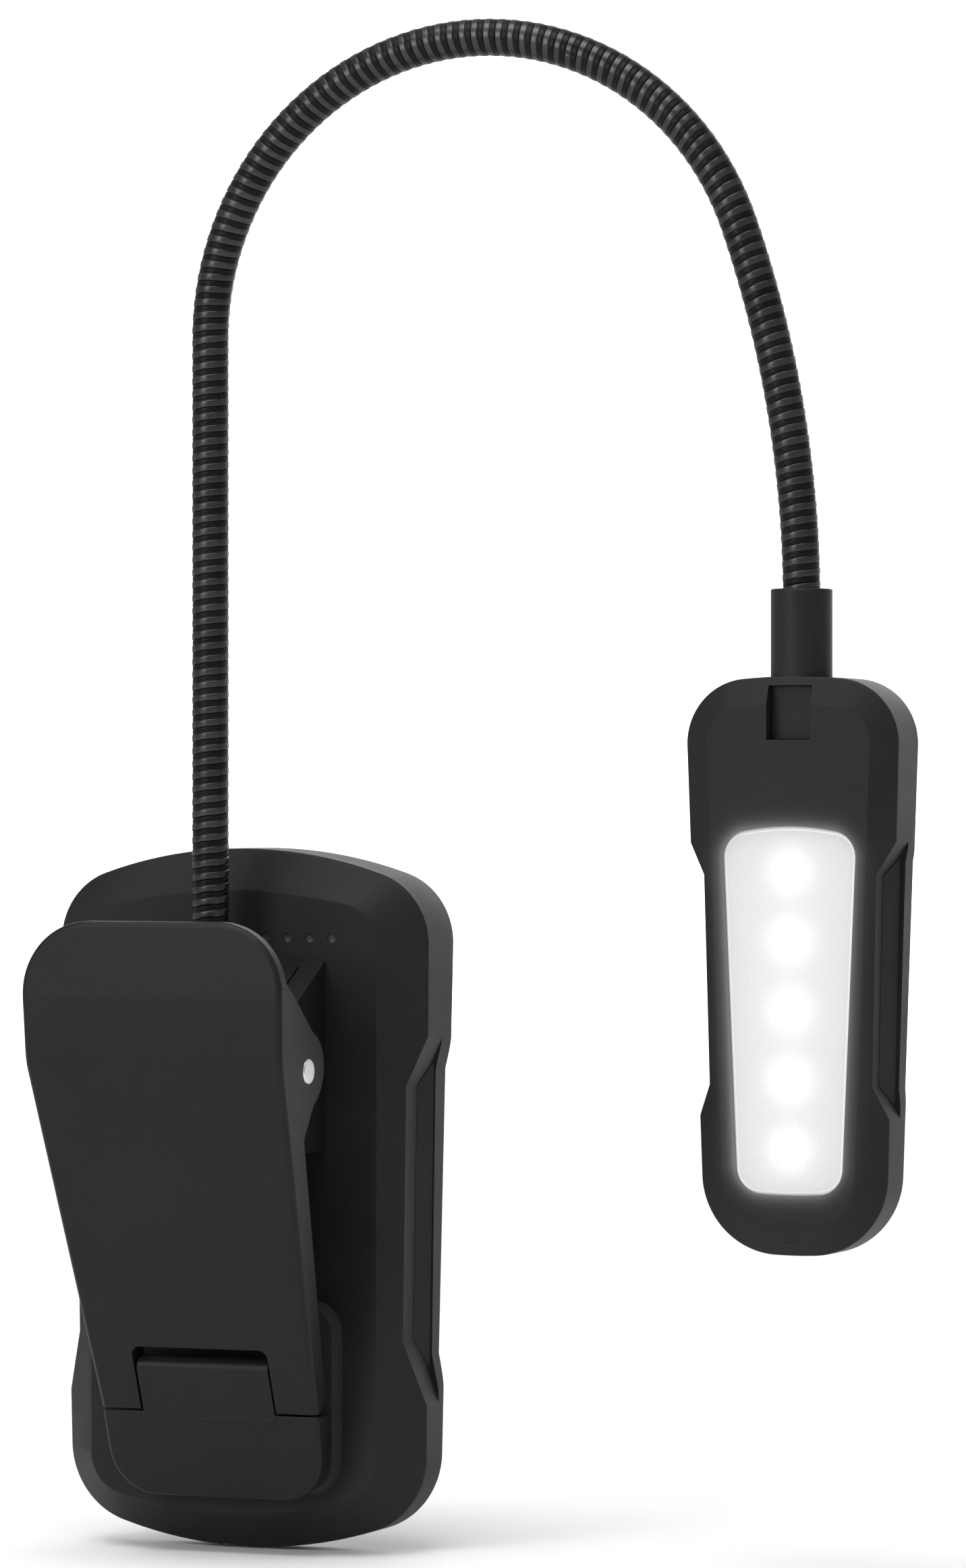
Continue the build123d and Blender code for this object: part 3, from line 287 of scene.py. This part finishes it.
# Emission strengths of the lens, and how fast they fade: spots and haloes in square mm, the painted glow on
# the bezel in mm.
# The bow of the lens's ends, for the painted glow on the bezel: x squared over this, in mm.
PANEL, RIM = 0.29, 0.36
SPOT, SPOT_FADE = 0.38, 7.5
HALO, HALO_FADE = 0.08, 60.0
PAINTED_SPILL, PAINTED_SPILL_FADE, PAINTED_SPILL_BOW = 0.15, 0.7, 90.0
FROST_GRAIN = 2600.0


def lens_material():
    """Frosted panel lit from behind by a row of LEDs: an even base, a bright spot and a halo for each."""
    material, tree, bsdf = shader("frosted_lens_lit")
    x, z = millimetres(tree, "XZ")
    x = x - HEAD_X
    strength = noise(tree, FROST_GRAIN).remap(-0.02, 0.02) + PANEL
    for i in range(LED_COUNT):
        dz = z - (LED_TOP_Z - i * LED_PITCH)
        square = dz * dz + x * x
        strength = strength + square.decay(SPOT_FADE) * SPOT + square.decay(HALO_FADE) * HALO
    strength.feed(bsdf.inputs["Emission Strength"])
    bsdf.inputs["Base Color"].default_value = (0.35, 0.355, 0.36, 1.0)
    bsdf.inputs["Roughness"].default_value = 0.38
    bsdf.inputs["Emission Color"].default_value = (0.97, 0.985, 1.0, 1.0)
    bump(bsdf, noise(tree, 5000.0, 2.0), 0.01)
    return material


def lens_rim():
    """The window's rounded rim: the same panel, a little warmer and evenly lit."""
    material, tree, bsdf = shader("frosted_lens_rim")
    frost = noise(tree, FROST_GRAIN)
    mix_colour(frost, (0.5, 0.5, 0.49), (0.58, 0.58, 0.57), bsdf.inputs["Base Color"])
    frost.remap(0.3, 0.42).feed(bsdf.inputs["Roughness"])
    bsdf.inputs["Emission Color"].default_value = (1.0, 0.99, 0.965, 1.0)
    bsdf.inputs["Emission Strength"].default_value = RIM
    return material


def paint_lens_glow_on_bezel(material):
    """Painted glow on the moulding round the lens: emission that stands in for the light the lens spills onto
    it, fading away from the lens outline.
    """
    tree = material.node_tree
    bsdf = tree.nodes["Principled BSDF"]
    x, y, z = millimetres(tree, "XYZ")
    x, z = x - HEAD_X, z - (LENS_LOW_Z + LENS_HIGH_Z) / 2
    height = LENS_HIGH_Z - LENS_LOW_Z
    taper = (LENS_HALF_TOP - LENS_HALF_LOW) / height
    half = z * taper + ((LENS_HALF_TOP + LENS_HALF_LOW) / 2 - LENS_CORNER)
    up = z.maths("ABSOLUTE") + x * x * (1.0 / PAINTED_SPILL_BOW)
    over_x = (x.maths("ABSOLUTE") - half).maths("MAXIMUM", 0.0)
    over_z = (up - (height / 2 - LENS_CORNER)).maths("MAXIMUM", 0.0)
    gap = (over_x * over_x + over_z * over_z).maths("SQRT") - LENS_CORNER
    front = y.maths("LESS_THAN", BEZEL_FACE_Y)
    # Painted glow: only the bezel's front gets this emission, which fakes the lens's spilled light.
    (gap.maths("MAXIMUM", 0.0).decay(PAINTED_SPILL_FADE) * front * PAINTED_SPILL).feed(bsdf.inputs["Emission Strength"])
    bsdf.inputs["Emission Color"].default_value = (1.0, 1.0, 1.0, 1.0)
    return material


def two_tone_leads():
    """Red on the right-hand lead and black on the left-hand one of each pair."""
    material, tree, bsdf = shader("lead_insulation")
    x = millimetres(tree, "X")[0]
    near_head = x.maths("GREATER_THAN", HEAD_X / 2)
    red = (x - near_head * HEAD_X).maths("GREATER_THAN", 0.0)
    scuffs = noise(tree, 600.0)
    mix_colour(red, (0.02, 0.02, 0.02), (0.45, 0.02, 0.02), bsdf.inputs["Base Color"])
    scuffs.remap(0.35, 0.5).feed(bsdf.inputs["Roughness"])
    bump(bsdf, scuffs, 0.01)
    return material


def board(name, colour, tint):
    """Solder mask with faint copper tracks."""
    material, tree, bsdf = shader(name)
    tracks = tree.nodes.new("ShaderNodeTexBrick")
    tracks.inputs["Scale"].default_value = 260.0
    tracks.inputs["Color1"].default_value = (*colour, 1.0)
    tracks.inputs["Color2"].default_value = (*tint, 1.0)
    tracks.inputs["Mortar"].default_value = (*[1.5 * c for c in tint], 1.0)
    turned = tree.nodes.new("ShaderNodeMapping")
    turned.inputs["Rotation"].default_value = (math.radians(90), 0, 0)
    tree.links.new(coordinates(tree), turned.inputs["Vector"])
    tree.links.new(turned.outputs["Vector"], tracks.inputs["Vector"])
    tree.links.new(tracks.outputs["Color"], bsdf.inputs["Base Color"])
    noise(tree, 400.0).remap(0.3, 0.45).feed(bsdf.inputs["Roughness"])
    bump(bsdf, noise(tree, 2500.0), 0.01)
    return material


BLACK, CHARCOAL = (0.0105, 0.0105, 0.0108), (0.0145, 0.0145, 0.0148)
HOUSING = dict(colour=BLACK, tint=CHARCOAL, rough=(0.42, 0.56), grain=5200.0, depth=0.012)
MAT = {
    "housing": surface("housing_plastic_fine_texture", **HOUSING),
    # The head's front moulding carries painted glow round the lens window.
    "bezel": paint_lens_glow_on_bezel(surface("head_plastic_painted_lens_glow", **HOUSING)),
    "clip": surface("clip_plastic_satin", (0.007, 0.007, 0.0072), (0.0095, 0.0095, 0.0097),
                    (0.36, 0.50), 4200.0, 0.009, specular=0.2),
    "grip": surface("grip_inlay_matt", (0.014, 0.014, 0.0145), (0.019, 0.019, 0.0195),
                    (0.52, 0.68), 3600.0, 0.014),
    "rubber": surface("pad_rubber", (0.017, 0.017, 0.0175), (0.024, 0.024, 0.0245),
                      (0.62, 0.82), 2600.0, 0.02),
    "sleeve": surface("sleeve_plastic_satin", (0.012, 0.012, 0.0125), CHARCOAL, (0.38, 0.5), 4200.0, 0.008),
    "coil": surface("gooseneck_black_oxide", (0.042, 0.042, 0.043), (0.06, 0.06, 0.0615),
                    (0.27, 0.38), 2400.0, 0.003, mottle=160.0, metallic=0.9),
    # The inner wire is a separate wire, but its colour, far darker than the outer wire's, is painted shade
    # for the recessed band.
    "coil_inner_painted_shade": surface("gooseneck_inner_wire_painted_shade", (0.003, 0.003, 0.0032), (0.006, 0.006, 0.0062),
                          (0.32, 0.45), 2400.0, 0.003, mottle=160.0, specular=0.12),
    "pin": surface("turned_pin_steel", (0.72, 0.72, 0.73), (0.62, 0.62, 0.64),
                   (0.22, 0.38), 1800.0, 0.005, metallic=1.0, stretch=(1, 6, 6)),
    "screw": surface("screw_zinc_steel", (0.52, 0.52, 0.54), (0.42, 0.42, 0.44),
                     (0.25, 0.42), 2600.0, 0.006, metallic=1.0),
    "spring": surface("spring_wire_steel", (0.36, 0.36, 0.37), (0.27, 0.27, 0.28),
                      (0.25, 0.4), 3000.0, 0.005, metallic=1.0),
    "plated": surface("ferrule_plated_steel", (0.6, 0.6, 0.6), (0.5, 0.5, 0.5),
                      (0.28, 0.42), 2000.0, 0.006, metallic=1.0),
    "cell": surface("cell_shrink_film", (0.1, 0.24, 0.5), (0.07, 0.18, 0.42), (0.22, 0.34), 500.0, 0.03),
    "foam": surface("foam_tape", (0.55, 0.55, 0.52), (0.42, 0.42, 0.4), (0.8, 0.95), 1500.0, 0.06),
    "pipe": surface("light_pipe_smoked", (0.05, 0.05, 0.052), (0.07, 0.07, 0.072),
                    (0.3, 0.42), 2200.0, 0.006),
    "led": surface("led_phosphor_package", (0.85, 0.82, 0.62), (0.9, 0.88, 0.7), (0.3, 0.45), 2200.0, 0.01),
    "switch": surface("switch_body", (0.02, 0.02, 0.02), (0.03, 0.03, 0.03), (0.4, 0.55), 3000.0, 0.01),
    "board": board("board_solder_mask", (0.02, 0.16, 0.07), (0.03, 0.2, 0.09)),
    "led_board": board("led_board_solder_mask", (0.7, 0.72, 0.72), (0.78, 0.8, 0.8)),
    "leads": two_tone_leads(),
    "lens": lens_material(),
    "lens_rim": lens_rim(),
}

# Which CAD nodes wear each material, and how wide their softened edges are in mm.
NODE_LOOKS = {
    "housing": ["base_front_shell", "base_back_shell", "head_back_shell", "power_button"],
    "bezel": ["head_front_shell"],
    "clip": ["clip_lever", "clip_foot", "clip_bracket", "neck_socket"],
    "grip": ["base_grip_right", "base_grip_left", "head_grip_right", "head_grip_left"],
    "rubber": ["base_jaw_pad", "foot_pad"],
    "sleeve": ["neck_sleeve"],
    "pin": ["clip_pin", "foot_pin"],
    "plated": ["neck_anchor", "charge_port"],
    "screw": ["base_screws", "head_screws"],
    "cell": ["battery_cell"],
    "foam": ["battery_tape"],
    "pipe": ["light_pipes"],
    "led": ["indicator_leds", "head_leds"],
    "switch": ["tact_switch"],
    "board": ["control_board", "charge_board"],
    "led_board": ["led_board"],
    "leads": ["neck_leads", "head_leads"],
}
EDGE_WIDTH = {
    "base_front_shell": 0.18, "base_back_shell": 0.18, "head_front_shell": 0.14, "head_back_shell": 0.14,
    "clip_lever": 0.3, "clip_foot": 0.25, "clip_bracket": 0.3, "neck_socket": 0.3,
    "base_jaw_pad": 0.15, "foot_pad": 0.2, "neck_sleeve": 0.12, "power_button": 0.1,
    "base_grip_right": 0.08, "base_grip_left": 0.08, "head_grip_right": 0.08, "head_grip_left": 0.08,
    "clip_pin": 0.12, "foot_pin": 0.1, "battery_cell": 0.4, "charge_port": 0.06, "base_screws": 0.06,
}
FINE_EDGE = 0.05


def dress(node, material, width):
    """Welded, softly bevelled surface for a CAD node."""
    piece = NODES[node]
    piece.data.materials.clear()
    piece.data.materials.append(material)
    piece.data.polygons.foreach_set("material_index", [0] * len(piece.data.polygons))
    piece.data.polygons.foreach_set("use_smooth", [True] * len(piece.data.polygons))
    weld = piece.modifiers.new("weld", "WELD")
    weld.merge_threshold = 2e-6
    flat = piece.modifiers.new("flat", "DECIMATE")
    flat.decimate_type = "DISSOLVE"
    flat.angle_limit = math.radians(0.4)
    edges = piece.modifiers.new("edges", "BEVEL")
    edges.width = width * MM
    edges.segments = 3
    edges.limit_method = "ANGLE"
    edges.angle_limit = math.radians(32)
    normals = piece.modifiers.new("normals", "WEIGHTED_NORMAL")
    normals.weight = 85


for look, members in NODE_LOOKS.items():
    for node in members:
        dress(node, MAT[look], EDGE_WIDTH.get(node, FINE_EDGE))


# ------------------------------------------------------------------ gooseneck
def neck_point(s):
    """Centre of the neck at station s (mm) and its heading in radians from +Z towards +X."""
    if s <= STRAIGHT:
        return Vector((0, NECK_Y, NECK_START_Z + s)), 0.0
    turned = min(s - STRAIGHT, ARC_LENGTH) / ARC_R
    x = ARC_R * (1 - math.cos(turned))
    z = NECK_STRAIGHT_TOP + ARC_R * math.sin(turned)
    rest = s - STRAIGHT - ARC_LENGTH
    if rest > 0:
        more = min(rest, TAIL_LENGTH) / TAIL_R
        x += TAIL_R * (math.cos(turned) - math.cos(turned + more))
        z += TAIL_R * (math.sin(turned + more) - math.sin(turned))
        turned += more
        z -= max(0.0, rest - TAIL_LENGTH)
    return Vector((x, NECK_Y, z)), turned


# Cross-section of one pitch of the winding, as (share of the pitch, depth below the neck's radius):
# a groove, the flat outer wire with rounded edges, then the recessed inner wire, whose near-black colour is
# painted shade for its recess.  coil() adds the bore.
COIL_PROFILE = [(0.0, 0.22), (0.02, 0.07), (0.04, 0.02), (0.08, 0.003), (0.2, 0.0), (0.36, 0.0),
                (0.46, 0.003), (0.50, 0.02), (0.52, 0.05), (0.535, 0.10), (0.62, 0.075), (0.75, 0.07),
                (0.88, 0.075), (0.96, 0.09), (0.985, 0.13), (1.0, 0.22)]
RECESSED_FROM, RECESSED_TO = 8, 15          # profile edges that belong to the inner wire, which wears the painted-shade material


def coil(name, s_low, s_high):
    """One length of the winding: a right-handed ribbon from station s_low to s_high."""
    profile = [(v, NECK_R - depth) for v, depth in COIL_PROFILE] + [(0.96, COIL_BORE), (0.04, COIL_BORE)]
    first, last = round(s_low / COIL_PITCH * COIL_STEPS), round(s_high / COIL_PITCH * COIL_STEPS)
    verts = []
    for i in range(first, last + 1):
        turn = i / COIL_STEPS
        theta = 2 * math.pi * turn
        for v, radius in profile:
            centre, heading = neck_point((turn + v) * COIL_PITCH)
            across = Vector((math.cos(heading), 0, -math.sin(heading)))
            verts.append(centre + radius * (math.cos(theta) * across + math.sin(theta) * Vector((0, 1, 0))))
    piece = build(name, verts, ring_faces(last - first + 1, len(profile)), MAT["coil"])
    # The recessed band wears the darker material, which is painted shade.
    piece.data.materials.append(MAT["coil_inner_painted_shade"])
    for face in piece.data.polygons:
        edge = face.index % len(profile)
        face.material_index = int(RECESSED_FROM <= edge < RECESSED_TO)
    return piece


def neck_pieces():
    """The winding in one length for each joint."""
    cuts = [FIRST_JOINT + (k + 0.5) * JOINT_PITCH for k in range(JOINTS - 1)]
    ends = [COIL_FOOT] + cuts + [COIL_TIP]
    for k in range(JOINTS):
        piece = coil(f"neck_coil_{k + 1}", ends[k], ends[k + 1])
        middle = FIRST_JOINT + k * JOINT_PITCH
        low = max(ends[k], middle - JOINT_PITCH / 2) if k else BEND_FOOT
        high = min(ends[k + 1], middle + JOINT_PITCH / 2) if k < JOINTS - 1 else BEND_TIP
        start, end = neck_point(low)[0] * MM, neck_point(high)[0] * MM
        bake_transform(piece)
        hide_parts(*([f"neck_link_{k}", f"neck_link_{k + 1}"] if k == 0 else [f"neck_link_{k + 1}"]))


# ------------------------------------------------------------------ clip spring
def clip_spring():
    """Torsion spring: wound wire round the pin, one leg on the thumb plate and one on the socket block."""
    total = int(SPRING_TURNS * SPRING_STEPS)
    reach = SPRING_HALF - SPRING_WIRE / 2
    points = []
    for i in range(total + 1):
        a = math.pi + 2 * math.pi * i / SPRING_STEPS
        x = -reach + 2 * reach * i / total
        points.append(Vector((x, PIN_Y + SPRING_R * math.cos(a), PIN_Z + SPRING_R * math.sin(a))))
    # The legs' points are (y, z).
    lead_in = [Vector((-reach, y, z)) for y, z in ((-22.0, 58.0), (-20.2, 52.0), (-18.6, 47.0))]
    lead_out = [Vector((reach, y, z)) for y, z in ((-11.5, 47.5), (-10.3, 50.0))]
    piece = tube("clip_spring_coil", lead_in + points + lead_out, SPRING_WIRE / 2, MAT["spring"], 14)
    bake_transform(piece)
    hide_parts("clip_spring")


# ------------------------------------------------------------------ lens
def lens():
    """Frosted window: a plate with a softly rounded rim and a flange behind the bezel."""
    # Each level is (how far the outline is grown, y).
    levels = [(0.45, -8.8), (0.45, -9.4), (-0.07, -9.4), (-0.07, -9.72), (-0.12, -9.86), (-0.25, -9.96),
              (-0.5, -10.0)]
    verts, count = [], 0
    for grow, y in levels:
        ring = arc_outline(LENS_HALF_TOP + grow, LENS_HALF_LOW + grow, LENS_LOW_Z - grow, LENS_HIGH_Z + grow,
                           LENS_ARCH_TOP, LENS_ARCH_LOW, LENS_CORNER + grow)
        count = len(ring)
        verts += [(HEAD_X + x, y, z) for x, z in ring]
    piece = build("head_lens_panel", verts, ring_faces(len(levels), count), MAT["lens"])
    piece.data.materials.append(MAT["lens_rim"])
    for face in piece.data.polygons:
        on_rim = len(face.vertices) == 4
        face.use_smooth = on_rim
        face.material_index = int(on_rim)
    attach(piece, "head")
    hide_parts("head_lens")


neck_pieces()
clip_spring()
lens()


# ------------------------------------------------------------------ stage, light, camera
def stage():
    """Pale floor that curves up into a backdrop.  Metres."""
    material, tree, bsdf = shader("studio_paper")
    mix_colour(noise(tree, 3.0), (0.90, 0.90, 0.90), (0.93, 0.93, 0.93), bsdf.inputs["Base Color"])
    bsdf.inputs["Roughness"].default_value = 0.9
    low, front, back, top, radius, half, steps = FLOOR_Z * MM, -4.0, 3.4, 3.6, 0.8, 4.0, 16
    profile = [(front, low), (back - radius, low)]
    for i in range(1, steps + 1):
        a = math.pi / 2 * i / steps
        profile.append((back - radius + radius * math.sin(a), low + radius * (1 - math.cos(a))))
    profile.append((back, top))
    verts = [(x / MM, y / MM, z / MM) for y, z in profile for x in (-half, half)]
    faces = [(2 * i, 2 * i + 1, 2 * i + 3, 2 * i + 2) for i in range(len(profile) - 1)]
    build("studio_sweep", verts, faces, material)


def area_light(name, place, target, size, power):
    """White softbox at place, facing target; metres and watts."""
    data = bpy.data.lights.new(name, "AREA")
    data.shape = "RECTANGLE"
    data.size, data.size_y = size
    data.energy = power
    light = bpy.data.objects.new(name, data)
    light.location = place
    light.visible_camera = False
    light.rotation_euler = (Vector(target) - Vector(place)).to_track_quat("-Z", "Y").to_euler()
    bpy.context.scene.collection.objects.link(light)


def world():
    """Even white surroundings."""
    sky = bpy.data.worlds.new("studio")
    sky.use_nodes = True
    sky.node_tree.nodes["Background"].inputs["Color"].default_value = (1.0, 1.0, 1.0, 1.0)
    sky.node_tree.nodes["Background"].inputs["Strength"].default_value = 0.5
    bpy.context.scene.world = sky


CAMERA_PLACE, CAMERA_AZIMUTH = (0.3645, -0.8093, 0.083), 22.0      # metres; degrees from -Y towards +X


def camera():
    """Level long-lens camera, to the right of the lamp's front."""
    data = bpy.data.cameras.new("camera")
    data.lens, data.sensor_width, data.sensor_fit = 150.0, 36.0, "AUTO"
    data.clip_start, data.clip_end = 0.05, 20.0
    eye = bpy.data.objects.new("camera", data)
    eye.location = CAMERA_PLACE
    azimuth = math.radians(CAMERA_AZIMUTH)
    ahead = Vector((-math.sin(azimuth), math.cos(azimuth), 0.0))
    eye.rotation_euler = ahead.to_track_quat("-Z", "Y").to_euler()
    bpy.context.scene.collection.objects.link(eye)
    bpy.context.scene.camera = eye


stage()
world()
camera()
bpy.context.scene.view_settings.view_transform = "Standard"
area_light("top_softbox", (0.0, -0.30, 0.95), (0.04, 0.0, 0.07), (0.8, 0.5), 6.5)
area_light("left_softbox", (-0.36, -0.95, 0.45), (0.05, 0.0, 0.09), (0.4, 0.5), 3.8)
area_light("right_softbox", (0.9, 0.5, 0.25), (0.03, 0.0, 0.08), (0.2, 0.9), 0.2)
area_light("backdrop_light", (-0.3, 2.0, 2.0), (-0.5, 3.4, 0.4), (2.4, 0.8), 75.0)
